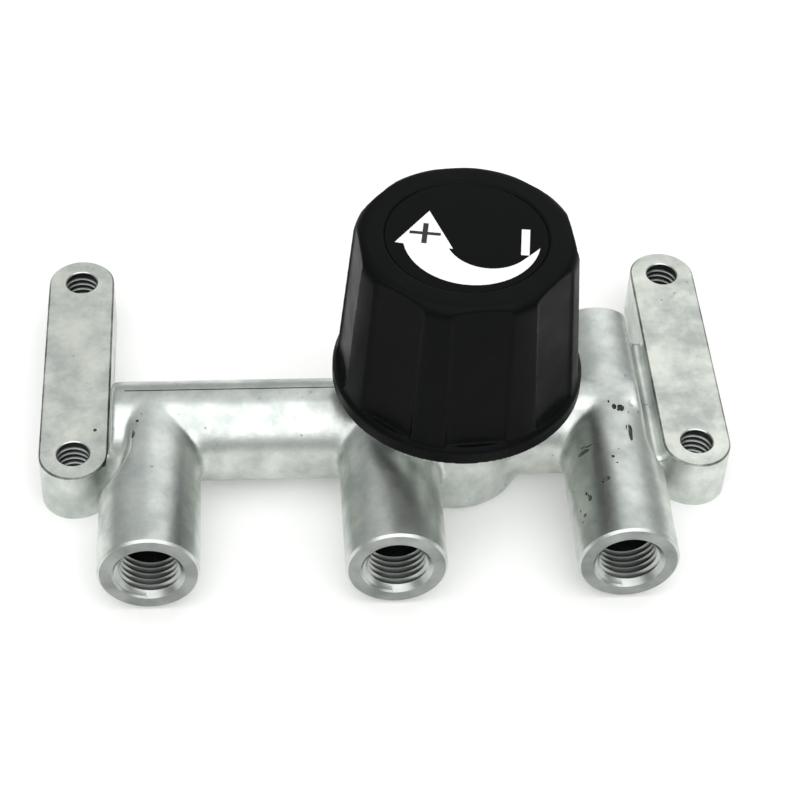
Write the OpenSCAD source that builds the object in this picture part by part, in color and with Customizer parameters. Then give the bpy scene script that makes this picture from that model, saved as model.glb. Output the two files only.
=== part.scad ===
// Air pressure regulator on a cast manifold, for the top of a compressor tank.
// Two drilled bars bolt the casting down. A gallery joins three front ports and
// one rear port to a diaphragm regulator, set by a knob that does not rise.
// Millimetres. Origin: centre of the four bar holes, on the bars' underside.
// +X runs along the gallery, +Y away from the front ports, +Z up the knob axis.

/* [Mounting bars] */
// Distance between the hole rows of the two bars
hole_pitch_x = 127; // [125:0.5:133]
// Distance between the two holes of one bar
hole_pitch_y = 50.8; // [46:0.2:58]
// Width of a bar
bar_w = 14; // [12.5:0.25:15]
// Height of a bar
bar_h = 12; // [10:0.25:14]
// Tapping diameter of the bar holes
bar_hole_d = 6.6; // [5:0.1:7.4]
// Chamfer at the top of the bar holes
bar_hole_chamfer = 0.5; // [0.3:0.1:1]
// Width of the groove between a bar and the tubes beside it
groove_w = 2.4; // [1.5:0.1:3]
// Depth of that groove below the top of the bar
groove_depth = 2.5; // [1.5:0.1:3]
// Lean of the groove's walls, in degrees
groove_draft = 14; // [8:0.5:18]

/* [Gallery and ports] */
// Outer radius of the gallery tube
gallery_r = 10.3; // [9.8:0.1:11]
// Height of the gallery above the mounting plane
gallery_clear = 0.2; // [0.1:0.1:1.5]
// Distance of the gallery axis in front of the hole pattern's centre
gallery_offset = 18.25; // [15:0.25:21]
// Position of the left port along the gallery
port_left_x = -48; // [-50:0.5:-44]
// Position of the middle port along the gallery
port_mid_x = 0; // [-8:0.5:1]
// Position of the right port and of the rear port along the gallery
port_right_x = 45.5; // [43:0.5:47]
// Distance of the front port faces from the gallery axis
port_reach = 38.25; // [32:0.25:48]
// Distance of the rear port face from the gallery axis
rear_reach = 24.25; // [22:0.25:34]
// Outer radius of a port tube at its face
port_face_r = 10; // [9.4:0.1:10.1]
// Outer radius of a port tube at the gallery
port_root_r = 10.2; // [10.1:0.05:10.6]
// Tapping diameter of the port threads
port_thread_d = 11.4; // [10:0.1:12.4]
// Depth of the port threads
port_thread_depth = 15; // [11:0.5:18]
// Diameter of the countersink at the port faces
port_mouth_d = 14.2; // [13:0.1:15.6]
// Diameter of the drilled air passages
passage_d = 7; // [5:0.1:7.4]

/* [Regulator bowl] */
// Position of the regulator axis along the gallery
valve_x = 13.75; // [12.5:0.25:18]
// Outer radius of the cast boss
boss_r = 14.5; // [13.5:0.1:15.5]
// Height of the boss above the mounting plane
boss_lift = 0.4; // [0.2:0.1:1]
// Chamfer round the foot of the boss
boss_chamfer = 2; // [1:0.1:3]
// Blend radius between the boss and the gallery
boss_blend = 5; // [3:0.25:7]
// Wall of the bowl's collar
bowl_wall = 2.5; // [2:0.1:3]
// Depth of the chamber below the diaphragm
bowl_depth = 4; // [3.4:0.1:5]
// Width of the ledge that clamps the diaphragm
clamp_ledge = 4; // [3:0.1:4.5]
// Height of the bonnet's thread in the collar
bonnet_thread_h = 3.3; // [3:0.1:5]

/* [Valve] */
// Thickness of the casting below the valve chamber
chamber_floor = 3; // [2.4:0.1:3.6]
// Radius of the valve chamber
chamber_r = 6.5; // [6.3:0.05:6.8]
// Radius of the seat insert
insert_r = 8; // [7.8:0.05:8.4]
// Height of the seat insert above its washer
insert_h = 3.7; // [3.4:0.1:4.4]
// Thickness of the seat washer
seat_washer_t = 0.6; // [0.4:0.1:1]
// Length of the nozzle below the seat ledge
nozzle_l = 2; // [1.4:0.1:2.2]
// Radius of the nozzle
nozzle_r = 5.6; // [5.3:0.05:5.8]
// Radius of the valve orifice
orifice_r = 3; // [2.4:0.05:3.4]
// Radius of the poppet's stem
stem_r = 1.6; // [1.2:0.05:1.8]
// Radius of the poppet's head
poppet_r = 5; // [4.7:0.05:5.2]
// Thickness of the poppet's head
poppet_t = 1.8; // [1.4:0.1:2]
// Thickness of the poppet's rubber seal
seal_t = 1.8; // [1.2:0.1:2]
// Wire of the poppet spring
poppet_wire = 0.8; // [0.5:0.05:0.9]
// Turns of the poppet spring
poppet_turns = 3.25; // [2:0.25:3.5]

/* [Diaphragm and range spring] */
// Thickness of the diaphragm
diaphragm_t = 1.5; // [1:0.1:2]
// Thickness of the slip ring on the diaphragm
slip_ring_t = 0.7; // [0.5:0.1:1.2]
// Radius of the diaphragm's pressure plate
plate_r = 10.6; // [10.4:0.05:11]
// Thickness of the pressure plate
plate_t = 1.5; // [1:0.1:2]
// Wire of the range spring
spring_wire = 2.6; // [2:0.05:2.8]
// Mean radius of the range spring
spring_r = 8.5; // [8.2:0.05:8.8]
// Turns of the range spring
spring_turns = 4; // [3:0.25:4.5]

/* [Bonnet and screw] */
// Inner radius of the bonnet
bonnet_r = 12.5; // [12.2:0.05:12.8]
// Wall of the bonnet
bonnet_wall = 3.2; // [2.8:0.1:3.6]
// Thickness of the bonnet's top
bonnet_top_t = 3; // [2.5:0.1:3.3]
// Radius of the adjusting screw's thread
screw_r = 4; // [3.5:0.05:4.2]
// Radius of the adjusting screw's journal
journal_r = 5; // [4.85:0.05:5.2]
// Width across the flats of the screw's hexagon
hex_af = 8.4; // [7.5:0.1:8.6]
// Height of the screw's hexagon
hex_h = 4.2; // [3.8:0.1:4.4]
// Length of the spring nut's hub
nut_hub_l = 8; // [7:0.25:8.5]
// Thickness of the spring nut's flange
nut_flange_t = 2.5; // [2:0.1:2.8]

/* [Knob] */
// How far the rim stands out from the skirt
knob_rim_lip = 0.7; // [0.4:0.1:1.5]
// Height of the knob's rim
knob_rim_h = 3.6; // [2.5:0.1:4]
// Height of the whole knob, which sets the room for the range spring
knob_h = 36.9; // [33.5:0.1:40.5]
// Radius of the skirt just above the rim, which sets the size of the bowl
knob_skirt_r = 24.3; // [22.5:0.05:26]
// How much narrower the skirt is at the top
knob_taper = 2.7; // [1.5:0.1:3.5]
// Radius of the rounded shoulder
knob_shoulder = 2.6; // [1.5:0.1:3]
// Wall of the knob's skirt
knob_wall = 2.2; // [1.9:0.05:2.3]
// Number of finger flats
flute_count = 8; // [6:1:9]
// Width of a finger flat's floor
flute_w = 11; // [8:0.25:12]
// Lean of the side walls of a finger flat, in degrees from its floor
flute_wall = 35; // [30:1:60]
// Depth of a finger flat at its foot
flute_depth = 1.3; // [0.9:0.05:1.3]
// Depth of a finger flat at the top of the knob
flute_top_depth = 1.1; // [0.6:0.05:1.2]
// Width of the land between the label and the edge of the top
label_land = 5.8; // [4.5:0.1:7]
// Thickness of the label
label_t = 0.4; // [0.3:0.05:0.5]

/* [Fits] */
// Radial clearance of screwed and pushed fits
fit_gap = 0.05; // [0.03:0.01:0.08]
// Clearance between pieces that move past each other
run_gap = 0.4; // [0.3:0.05:0.5]
// Clearance between the knob's skirt and the bowl's collar
knob_gap = 0.6; // [0.4:0.05:1]
// Clearance between pieces that rest near each other
rest_gap = 0.2; // [0.1:0.05:0.3]

/* [Hidden] */
$fn = 64;
// Overlap that lets a cut run past the face that it opens
cut = 1;

// Places of the gallery and of the regulator axis
gallery_y = -gallery_offset;
axis_z = gallery_r + gallery_clear;
passage_r = passage_d / 2;
front_ports = [port_left_x, port_mid_x, port_right_x];
bar_x = hole_pitch_x / 2;
bar_end_y = hole_pitch_y / 2;
groove_z = bar_h - groove_depth;
groove_run = 3.5;
// Lean of the gallery's end wall beside the left bar, in degrees, and the nick at its foot
gallery_end_draft = 6;
nick_w = 0.4;
nick_depth = 0.6;
// How far the sloped front of a web runs out at its foot
web_run = 5.5;
blend_x = sqrt(pow(boss_r + boss_blend, 2) - pow(gallery_r + boss_blend, 2));

// Heights up the regulator axis, from the valve chamber to the bowl's rim
chamber_floor_z = boss_lift + chamber_floor;
ledge_z = axis_z + passage_r + rest_gap;
seat_lip_z = ledge_z - nozzle_l;
insert_z = ledge_z + seat_washer_t;
bowl_floor_z = insert_z + insert_h;
clamp_z = bowl_floor_z + bowl_depth;
diaphragm_top_z = clamp_z + diaphragm_t;
spigot_z = diaphragm_top_z + slip_ring_t;
rim_z = spigot_z + bonnet_thread_h;
bowl_r = knob_skirt_r - knob_wall - knob_gap;
collar_bore_r = bowl_r - bowl_wall;
bowl_bore_r = collar_bore_r - clamp_ledge;
flare_z = clamp_z - (bowl_r - boss_r);

// Hole that leads the regulated air from the bowl down to the gallery
outlet_d = 4.4;
outlet_edge = 1.2;
outlet_x = bowl_bore_r - outlet_d / 2 - outlet_edge;

// Poppet, from its spring guide to the tip of its stem
poppet_top_z = seat_lip_z - seal_t;
poppet_z = poppet_top_z - poppet_t;
poppet_spring_r = 3.6;
guide_r = poppet_spring_r - poppet_wire / 2 - run_gap;
guide_l = 2.6;
rivet_pad_t = 1.6;
stem_top_z = clamp_z - rivet_pad_t;

// Diaphragm stack
rivet_r = 2;
rivet_pad_r = 4;
rivet_head_r = 3.4;
rivet_head_t = 1;
vent_r = 0.8;
relief_r = 2.4;
relief_t = 0.8;
plate_top_z = diaphragm_top_z + plate_t;
plate_boss_r = spring_r - spring_wire / 2 - run_gap;
plate_boss_h = 0.9;
fold_r = (bowl_bore_r - plate_r) / 2;
fold_mid_r = plate_r + fold_r;

// Knob
knob_overlap = 2.3;
knob_z = rim_z - knob_overlap;
knob_top_z = knob_z + knob_h;
knob_rim_r = knob_skirt_r + knob_rim_lip;
knob_rim_chamfer = 0.6;
knob_top_r = knob_skirt_r - knob_taper;
skirt_z = knob_z + knob_rim_h;
knob_draft = atan(knob_taper / (knob_top_z - skirt_z));
knob_cap_t = 3;
knob_ceiling_z = knob_top_z - knob_cap_t;
// Angle of the first finger flat, measured from +X
flute_phase = -86;
rib_t = 1.4;
label_r = knob_top_r - label_land;
label_sink = 0.3;
label_recess = label_t + label_sink;
label_z = knob_top_z - label_recess;

// Screw under the label and the hub floor that it holds
screw_shank_r = 1.9;
screw_shank_l = 9;
screw_head_r = 3.7;
screw_head_t = 2.2;
screw_head_z = label_z - rest_gap - screw_head_t;
hub_floor_t = 1.3;
hub_wall = 3.2;

// Adjusting screw, from the top of its hexagon down to its thrust collar
hex_r = hex_af / sqrt(3);
hex_top_z = screw_head_z - hub_floor_t;
hex_z = hex_top_z - hex_h;
knob_hub_r = hex_r + hub_wall;
clip_t = 1;
clip_groove = 0.5;
clip_lip = 2;
clip_play = 0.1;
clip_r = journal_r + clip_lip;
clip_z = hex_z - run_gap - clip_t;
bonnet_top_z = clip_z - clip_play;
ceiling_z = bonnet_top_z - bonnet_top_t;
collar_r = 8;
collar_t = 1.5;
thrust_t = 0.8;
collar_z = ceiling_z - thrust_t - collar_t;
thread_run = 3.4;
screw_end_z = rim_z + thread_run;

// Spring nut and range spring, which fills the room that is left above the plate
lug_w = 4;
lug_l = 1.5;
spring_washer_t = 0.8;
hub_gap = 0.7;
nut_hub_r = spring_r - spring_wire / 2 - hub_gap;
nut_flange_r = bonnet_r - run_gap;
nut_top_z = collar_z - run_gap;
washer_top_z = nut_top_z - nut_flange_t;
spring_top_z = washer_top_z - spring_washer_t;
spring_l = spring_top_z - plate_top_z;

// Bonnet
bonnet_shoulder_z = rim_z + rest_gap;
bonnet_flange_h = 2.5;
bonnet_flange_step = 1;
bonnet_flange_r = bowl_r - bonnet_flange_step;
bonnet_foot_step = 1;
bonnet_foot_r = bonnet_r + bonnet_wall + bonnet_foot_step;
bonnet_draft_step = 0.4;
bonnet_head_r = bonnet_r + bonnet_wall - bonnet_draft_step;
bonnet_notches = 6;
notch_r = 1.6;

// Colours of the materials
cast_grey = [0.72, 0.75, 0.74];
brass_yellow = [0.80, 0.67, 0.36];
steel_grey = [0.62, 0.63, 0.65];
zinc_grey = [0.74, 0.75, 0.77];
rubber_black = [0.13, 0.13, 0.14];
nylon_white = [0.90, 0.89, 0.84];
knob_black = [0.08, 0.08, 0.09];

// Puts its children on the regulator axis
module at_valve() {
    translate([valve_x, gallery_y, 0]) children();
}

// Plain ring from one radius to another
module ring(outer, inner, h) {
    difference() {
        cylinder(r = outer, h = h);
        translate([0, 0, -cut]) cylinder(r = inner, h = h + 2 * cut);
    }
}

// Cylinder along +Y from the origin, which may taper
module reach_y(r1, r2, l) {
    rotate([-90, 0, 0]) cylinder(r1 = r1, r2 = r2, h = l);
}

// Ring of points round a helix of round wire at turn t
function coil_ring(t, r, pitch, wire, sides) = [
    for (s = [0 : sides - 1])
        let (a = 360 * s / sides, d = r + wire / 2 * cos(a))
        [d * cos(360 * t), d * sin(360 * t), wire / 2 + pitch * t + wire / 2 * sin(a)]
];

// Helical spring of round wire standing on z = 0, as one swept tube
module coil_spring(r, wire, length, turns, rings, sides) {
    pitch = (length - wire) / turns;
    steps = round(turns * rings);
    points = [for (i = [0 : steps]) each coil_ring(i / rings, r, pitch, wire, sides)];
    walls = [
        for (i = [0 : steps - 1], s = [0 : sides - 1])
            let (a = i * sides + s, b = i * sides + (s + 1) % sides)
            each [[a, a + sides, b], [b, a + sides, b + sides]]
    ];
    first = [for (s = [1 : sides - 2]) [0, s, s + 1]];
    last = [for (s = [1 : sides - 2]) [steps * sides, steps * sides + s + 1, steps * sides + s]];
    echo("least gap between turns", pitch - wire);
    polyhedron(points = points, faces = concat(walls, first, last), convexity = 10);
}

// Outline of one bar, a slot with round ends
module bar_outline() {
    square([bar_w, hole_pitch_y], center = true);
    for (side = [-1, 1]) translate([0, side * bar_end_y]) circle(d = bar_w);
}

// Tapped hole through a bar with a chamfer at its top
module bar_hole() {
    hole_r = bar_hole_d / 2;
    translate([0, 0, -cut]) cylinder(r = hole_r, h = bar_h + 2 * cut);
    translate([0, 0, bar_h - bar_hole_chamfer])
        cylinder(r1 = hole_r, r2 = hole_r + bar_hole_chamfer + cut, h = bar_hole_chamfer + cut);
}

// Slot with leaning walls and round ends that clears the groove round a bar
module bar_groove() {
    groove_h = axis_z + gallery_r + cut - groove_z;
    floor_r = bar_w / 2 + groove_w;
    mouth_r = floor_r + groove_h * tan(groove_draft);
    groove_end_y = bar_end_y + groove_run;
    translate([0, groove_end_y, groove_z]) rotate([90, 0, 0]) linear_extrude(2 * groove_end_y)
        polygon([[-floor_r, 0], [floor_r, 0], [mouth_r, groove_h], [-mouth_r, groove_h]]);
    for (side = [-1, 1]) translate([0, side * groove_end_y, groove_z])
        cylinder(r1 = floor_r, r2 = mouth_r, h = groove_h);
}

// Cutter that carries the groove's leaning wall down to the floor round the front end of a bar
module groove_front() {
    floor_r = bar_w / 2 + groove_w;
    foot_r = floor_r - groove_z * tan(groove_draft);
    translate([0, -bar_end_y, 0]) rotate([90, 0, 0]) linear_extrude(groove_run)
        polygon([[-foot_r, 0], [foot_r, 0], [floor_r, groove_z], [-floor_r, groove_z]]);
    translate([0, -bar_end_y - groove_run, 0]) cylinder(r1 = foot_r, r2 = floor_r, h = groove_z);
}

// Web that ties the flank of a port tube to the bar beside it, with a sloped front
module bar_web(tube_x, bar_side, back_y) {
    web_x = bar_side * bar_x;
    web_h = groove_z - gallery_clear;
    translate([min(tube_x, web_x), 0, gallery_clear])
        rotate([90, 0, 90]) linear_extrude(abs(web_x - tube_x)) polygon([
            [back_y, 0],
            [back_y, web_h],
            [-bar_end_y, web_h],
            [-bar_end_y - web_run, 0]
        ]);
}

// Block that ends the gallery with a leaning wall beside the left bar and leaves a nick at its edge
module gallery_end() {
    end_h = axis_z + gallery_r + cut - bar_h;
    foot_x = bar_w / 2 + nick_w;
    half_l = gallery_r + cut;
    translate([-bar_x, gallery_y + half_l, bar_h]) rotate([90, 0, 0]) linear_extrude(2 * half_l) polygon([
        [-bar_w, -nick_depth],
        [foot_x, -nick_depth],
        [foot_x + (end_h + nick_depth) * tan(gallery_end_draft), end_h],
        [-bar_w, end_h]
    ]);
}

// Gallery and port tubes, cut back where they pass the bars, and the webs
module gallery_tubes() {
    bar_web(port_left_x, -1, gallery_y);
    bar_web(port_right_x, 1, gallery_y + rear_reach);
    difference() {
        translate([-bar_x, gallery_y, axis_z]) rotate([0, 90, 0])
            cylinder(r = gallery_r, h = hole_pitch_x);
        gallery_end();
        translate([bar_x, 0, 0]) bar_groove();
    }
    difference() {
        union() {
            for (x = front_ports) translate([x, gallery_y - port_reach, axis_z])
                reach_y(port_face_r, port_root_r, port_reach);
            translate([port_right_x, gallery_y, axis_z])
                reach_y(port_root_r, port_face_r, rear_reach);
        }
        for (side = [-1, 1]) translate([side * bar_x, 0, 0]) {
            bar_groove();
            groove_front();
        }
    }
}

// Flare of the gallery where it runs into the boss, turned about the gallery axis
module gallery_flare() {
    flare_r = gallery_r + boss_blend;
    rotate([0, 90, 0]) rotate_extrude() difference() {
        square([flare_r * boss_r / (boss_r + boss_blend), blend_x]);
        translate([flare_r, blend_x]) circle(r = boss_blend);
    }
}

// Boss and bowl of the regulator, turned about the knob axis
module bowl_solid() {
    rotate_extrude() polygon([
        [0, boss_lift],
        [boss_r - boss_chamfer, boss_lift],
        [boss_r, boss_lift + boss_chamfer],
        [boss_r, flare_z],
        [bowl_r, clamp_z],
        [bowl_r, rim_z],
        [0, rim_z]
    ]);
}

// Hollow of the bowl and the valve chamber, turned about the knob axis
module bowl_bores() {
    translate([0, 0, chamber_floor_z]) cylinder(r = chamber_r, h = rim_z);
    translate([0, 0, ledge_z]) cylinder(r = insert_r, h = rim_z);
    translate([0, 0, bowl_floor_z]) cylinder(r = bowl_bore_r, h = rim_z);
    translate([0, 0, clamp_z]) cylinder(r = collar_bore_r, h = rim_z);
    translate([-outlet_x, 0, axis_z]) cylinder(d = outlet_d, h = rim_z - axis_z);
}

// Countersunk, tapped port and the passage behind it, bored along +Y from its face
module port_bore(reach) {
    mouth = (port_mouth_d - port_thread_d) / 2;
    translate([0, -cut, 0]) reach_y(port_mouth_d / 2 + cut, port_thread_d / 2, mouth + cut);
    reach_y(port_thread_d / 2, port_thread_d / 2, port_thread_depth);
    reach_y(passage_r, passage_r, reach);
}

// Cast manifold: bars, gallery, port tubes and regulator bowl in one piece
module manifold_body() {
    color(cast_grey) difference() {
        union() {
            for (side = [-1, 1]) translate([side * bar_x, 0, 0])
                linear_extrude(bar_h) bar_outline();
            gallery_tubes();
            at_valve() bowl_solid();
            intersection() {
                for (side = [0, 1]) translate([valve_x, gallery_y, axis_z])
                    mirror([side, 0, 0]) gallery_flare();
                at_valve() translate([0, 0, boss_lift])
                    cylinder(r = boss_r + boss_blend, h = rim_z);
            }
        }
        for (side = [-1, 1], end = [-1, 1])
            translate([side * bar_x, end * bar_end_y, 0]) bar_hole();
        for (x = front_ports) translate([x, gallery_y - port_reach, axis_z])
            port_bore(port_reach);
        translate([port_right_x, gallery_y + rear_reach, axis_z])
            mirror([0, 1, 0]) port_bore(rear_reach);
        translate([port_left_x, gallery_y, axis_z]) rotate([0, 90, 0])
            cylinder(r = passage_r, h = valve_x - outlet_x - port_left_x);
        translate([valve_x, gallery_y, axis_z]) rotate([0, 90, 0])
            cylinder(r = passage_r, h = port_right_x - valve_x);
        at_valve() bowl_bores();
    }
}

// Screwed brass insert whose lower lip is the valve seat
module seat_insert() {
    drive_af = 9;
    drive_h = 2.2;
    lip_w = 0.4;
    lip_h = 0.6;
    color(brass_yellow) at_valve() difference() {
        union() {
            translate([0, 0, insert_z]) cylinder(r = insert_r - fit_gap, h = insert_h);
            translate([0, 0, seat_lip_z]) cylinder(r = nozzle_r, h = insert_z - seat_lip_z + cut);
        }
        translate([0, 0, seat_lip_z - cut]) cylinder(r = orifice_r, h = rim_z);
        translate([0, 0, seat_lip_z - cut])
            cylinder(r1 = nozzle_r - lip_w + cut, r2 = orifice_r, h = lip_h + cut);
        translate([0, 0, bowl_floor_z - drive_h])
            cylinder(r = drive_af / sqrt(3), h = drive_h + cut, $fn = 6);
    }
}

// Flat washer that seals the insert on its ledge
module seat_washer() {
    color(nylon_white) at_valve() translate([0, 0, ledge_z])
        ring(insert_r - fit_gap, nozzle_r + fit_gap, seat_washer_t);
}

// Turned brass poppet: spring guide, head and long stem
module valve_poppet() {
    color(brass_yellow) at_valve() {
        translate([0, 0, poppet_z - guide_l]) cylinder(r = guide_r, h = guide_l + cut);
        translate([0, 0, poppet_z]) cylinder(r = poppet_r, h = poppet_t);
        translate([0, 0, poppet_top_z - cut]) cylinder(r = stem_r, h = stem_top_z - poppet_top_z + cut);
    }
}

// Rubber face of the poppet
module poppet_seal() {
    color(rubber_black) at_valve() translate([0, 0, poppet_top_z])
        ring(poppet_r - rest_gap, stem_r, seal_t);
}

// Light spring that lifts the poppet to its seat
module poppet_spring() {
    color(steel_grey) at_valve() translate([0, 0, chamber_floor_z])
        coil_spring(poppet_spring_r, poppet_wire, poppet_z - chamber_floor_z, poppet_turns, 12, 6);
}

// Rubber diaphragm with one round fold between its clamped rim and its plate
module diaphragm() {
    color(rubber_black) at_valve() rotate_extrude() difference() {
        union() {
            translate([rivet_r, clamp_z])
                square([collar_bore_r - run_gap - rivet_r, diaphragm_t]);
            translate([fold_mid_r, clamp_z]) circle(r = fold_r);
        }
        translate([fold_mid_r, diaphragm_top_z]) circle(r = fold_r - diaphragm_t / 4);
    }
}

// Brass rivet through diaphragm and plate, with the relief vent down its middle
module diaphragm_rivet() {
    color(brass_yellow) at_valve() difference() {
        union() {
            translate([0, 0, stem_top_z]) cylinder(r = rivet_pad_r, h = rivet_pad_t);
            translate([0, 0, clamp_z - cut]) cylinder(r = rivet_r, h = plate_top_z - clamp_z + 2 * cut);
            translate([0, 0, plate_top_z]) cylinder(r = rivet_head_r, h = rivet_head_t);
        }
        translate([0, 0, stem_top_z - cut]) cylinder(r = vent_r, h = rim_z);
        translate([0, 0, stem_top_z - cut]) cylinder(r = relief_r, h = relief_t + cut);
    }
}

// Rubber ring in the rivet that the stem's tip closes
module relief_seat() {
    color(rubber_black) at_valve() translate([0, 0, stem_top_z])
        ring(relief_r, vent_r, relief_t);
}

// Pressed plate that carries the range spring and centres it
module diaphragm_plate() {
    color(zinc_grey) at_valve() difference() {
        union() {
            translate([0, 0, diaphragm_top_z]) cylinder(r = plate_r, h = plate_t);
            translate([0, 0, diaphragm_top_z]) ring(plate_boss_r, rivet_head_r + run_gap, plate_t + plate_boss_h);
        }
        translate([0, 0, diaphragm_top_z - cut]) cylinder(r = rivet_r, h = plate_t + 2 * cut);
    }
}

// Thin ring that lets the bonnet turn on the diaphragm while it is screwed down
module slip_ring() {
    color(brass_yellow) at_valve() translate([0, 0, diaphragm_top_z])
        ring(collar_bore_r - run_gap, bowl_bore_r, slip_ring_t);
}

// Heavy spring that sets the outlet pressure
module range_spring() {
    color(steel_grey) at_valve() translate([0, 0, plate_top_z])
        coil_spring(spring_r, spring_wire, spring_l, spring_turns, 20, 8);
}

// Steel washer between the range spring and its nut
module spring_washer() {
    color(steel_grey) at_valve() translate([0, 0, spring_top_z])
        ring(spring_r + spring_wire / 2 + run_gap, nut_hub_r + fit_gap, spring_washer_t);
}

// Flanged nut with two lugs that slide in the bonnet's keyways
module spring_nut() {
    color(zinc_grey) at_valve() difference() {
        union() {
            translate([0, 0, washer_top_z]) cylinder(r = nut_flange_r, h = nut_flange_t);
            translate([0, 0, washer_top_z - nut_hub_l]) cylinder(r = nut_hub_r, h = nut_hub_l + cut);
            translate([-bonnet_r - lug_l + run_gap, -lug_w / 2, washer_top_z])
                cube([2 * (bonnet_r + lug_l - run_gap), lug_w, nut_flange_t]);
        }
        translate([0, 0, washer_top_z - nut_hub_l - cut]) cylinder(r = screw_r + fit_gap, h = rim_z);
    }
}

// Bell-shaped bonnet that screws into the bowl and guides the nut
module bonnet() {
    keyway_w = lug_w + 2 * run_gap;
    keyway_z = bonnet_shoulder_z + bonnet_flange_h;
    vent_d = 2;
    vent_z = keyway_z + 3;
    color(zinc_grey) at_valve() difference() {
        union() {
            translate([0, 0, spigot_z]) cylinder(r = collar_bore_r - fit_gap, h = bonnet_thread_h + cut);
            translate([0, 0, bonnet_shoulder_z]) cylinder(r = bonnet_flange_r, h = bonnet_flange_h);
            translate([0, 0, keyway_z])
                cylinder(r1 = bonnet_foot_r, r2 = bonnet_head_r, h = bonnet_top_z - keyway_z);
        }
        translate([0, 0, spigot_z - cut]) cylinder(r = bowl_bore_r, h = bonnet_thread_h + cut);
        translate([0, 0, spigot_z]) cylinder(r = bonnet_r, h = ceiling_z - spigot_z);
        translate([0, 0, spigot_z]) cylinder(r = journal_r + fit_gap, h = rim_z + knob_h);
        translate([-bonnet_r - lug_l, -keyway_w / 2, keyway_z])
            cube([2 * (bonnet_r + lug_l), keyway_w, ceiling_z - keyway_z]);
        for (i = [0 : bonnet_notches - 1]) rotate(360 * i / bonnet_notches)
            translate([bonnet_flange_r, 0, bonnet_shoulder_z - cut])
                cylinder(r = notch_r, h = bonnet_flange_h + 2 * cut);
        translate([0, 0, vent_z]) rotate([-90, 0, 0]) cylinder(d = vent_d, h = bowl_r);
    }
}

// Washer that takes the spring's thrust under the bonnet's top
module thrust_washer() {
    color(nylon_white) at_valve() translate([0, 0, collar_z + collar_t])
        ring(collar_r, journal_r + fit_gap, thrust_t);
}

// Adjusting screw with a left-hand thread, a thrust collar, a journal and a hexagon
module adjusting_screw() {
    color(steel_grey) at_valve() difference() {
        union() {
            translate([0, 0, screw_end_z]) cylinder(r = screw_r, h = collar_z - screw_end_z + cut);
            translate([0, 0, collar_z]) cylinder(r = collar_r, h = collar_t);
            translate([0, 0, collar_z]) cylinder(r = journal_r, h = hex_z - collar_z);
            translate([0, 0, hex_z - cut]) cylinder(r = hex_r, h = hex_h + cut, $fn = 6);
        }
        translate([0, 0, clip_z]) ring(journal_r + cut, journal_r - clip_groove, clip_t);
        translate([0, 0, screw_head_z - screw_shank_l - cut])
            cylinder(r = screw_shank_r + fit_gap, h = screw_shank_l + 2 * cut);
    }
}

// Open clip in the journal's groove that keeps the screw in the bonnet
module retaining_clip() {
    opening_w = 1.6 * journal_r;
    color(steel_grey) at_valve() translate([0, 0, clip_z]) difference() {
        ring(clip_r, journal_r - clip_groove, clip_t);
        translate([0, -opening_w / 2, -cut]) cube([clip_r + cut, opening_w, clip_t + 2 * cut]);
    }
}

// Outer form of the knob, turned about its axis: rim, tapered skirt, round shoulder
module knob_profile() {
    shoulder_z = knob_top_z - knob_shoulder;
    shoulder_r = knob_top_r + knob_shoulder * tan(knob_draft) - knob_shoulder / cos(knob_draft);
    difference() {
        polygon([
            [0, knob_z],
            [knob_rim_r, knob_z],
            [knob_rim_r, skirt_z - knob_rim_chamfer],
            [knob_rim_r - knob_rim_chamfer, skirt_z],
            [knob_skirt_r, skirt_z],
            [knob_top_r, knob_top_z],
            [0, knob_top_z]
        ]);
        difference() {
            translate([shoulder_r, shoulder_z + knob_shoulder * sin(knob_draft)])
                square(2 * knob_shoulder);
            translate([shoulder_r, shoulder_z]) circle(r = knob_shoulder);
        }
    }
}

// Hollow of the knob, a wall's thickness inside the skirt
module knob_hollow() {
    polygon([
        [0, knob_z - cut],
        [knob_skirt_r - knob_wall, knob_z - cut],
        [knob_skirt_r - knob_wall, skirt_z],
        [knob_top_r - knob_wall, knob_ceiling_z],
        [0, knob_ceiling_z]
    ]);
}

// Leaning block that leaves one finger flat in the skirt, level at its foot just above the rim
module knob_flute() {
    flute_l = knob_top_z - skirt_z;
    flute_lean = atan((knob_taper - flute_depth + flute_top_depth) / flute_l);
    flute_rise = 2 * flute_depth;
    flute_foot = 0.2;
    floor_y = flute_w / 2;
    mouth_y = floor_y + flute_rise / tan(flute_wall);
    translate([knob_skirt_r - flute_depth, 0, skirt_z + flute_foot]) intersection() {
        rotate([0, -flute_lean, 0]) translate([0, 0, -cut]) linear_extrude(2 * flute_l)
            polygon([[0, -floor_y], [0, floor_y], [flute_rise, mouth_y], [flute_rise, -mouth_y]]);
        translate([-knob_skirt_r, -knob_skirt_r, 0]) cube(2 * knob_skirt_r);
    }
}

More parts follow.
